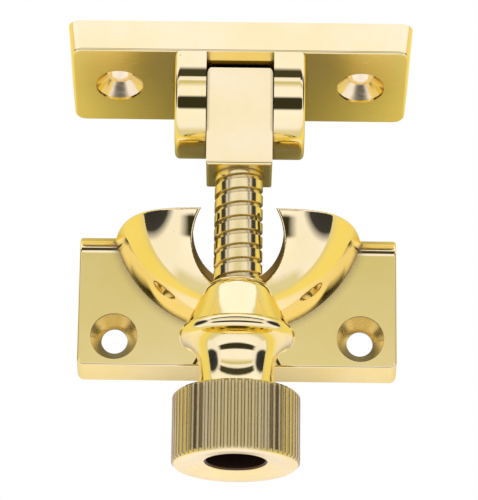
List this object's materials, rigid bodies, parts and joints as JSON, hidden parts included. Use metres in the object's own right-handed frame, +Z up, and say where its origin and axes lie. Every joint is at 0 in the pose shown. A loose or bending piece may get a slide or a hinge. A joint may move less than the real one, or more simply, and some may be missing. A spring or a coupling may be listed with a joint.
{
  "type": "brighton pattern sash fastener",
  "caption": "Brass sash window fastener: a hinged threaded arm with a knurled acorn nut drops into the notch of a hollow domed keep and is screwed tight.",
  "frame": {"origin": "midway between the keep plate's two screw holes, on its underside", "axes": "+Z up out of the keep plate, +Y from the keep towards the hinge plate, X along the plates"},
  "size_m": [0.0612, 0.08, 0.0301],
  "materials": {
    "cast_polished_brass": "polished",
    "turned_brass": "turned and polished",
    "fixing_brass": "plain drawn"
  },
  "bodies": {
    "plates": {"keep_plate": "cast_polished_brass", "hinge_plate": "cast_polished_brass", "hinge_pin": "fixing_brass"},
    "arm": {"pivot_block": "cast_polished_brass", "threaded_rod": "turned_brass", "stop_screw": "fixing_brass"},
    "washer": {"stop_washer": "fixing_brass"},
    "nut": {"clamp_nut": "turned_brass"}
  },
  "joints": [
    {"name": "arm_swing", "type": "hinge", "parent": "plates", "child": "arm", "pos_m": [0, 0.04, 0.0168], "axis": [-1, 0, 0], "range_deg": [0, 84]},
    {"name": "nut_spin", "type": "hinge", "parent": "arm", "child": "washer", "pos_m": [0, 0.04, 0.0168], "axis": [0, -0.9994, 0.0349], "range_deg": [0, 1080]},
    {"name": "nut_travel", "type": "slide", "parent": "washer", "child": "nut", "axis": [0, -0.9994, 0.0349], "range_m": [0, 0.00781]}
  ],
  "couplings": [
    {"joint": "nut_travel", "follows": "nut_spin", "m_per_rad": 0.0004138}
  ]
}
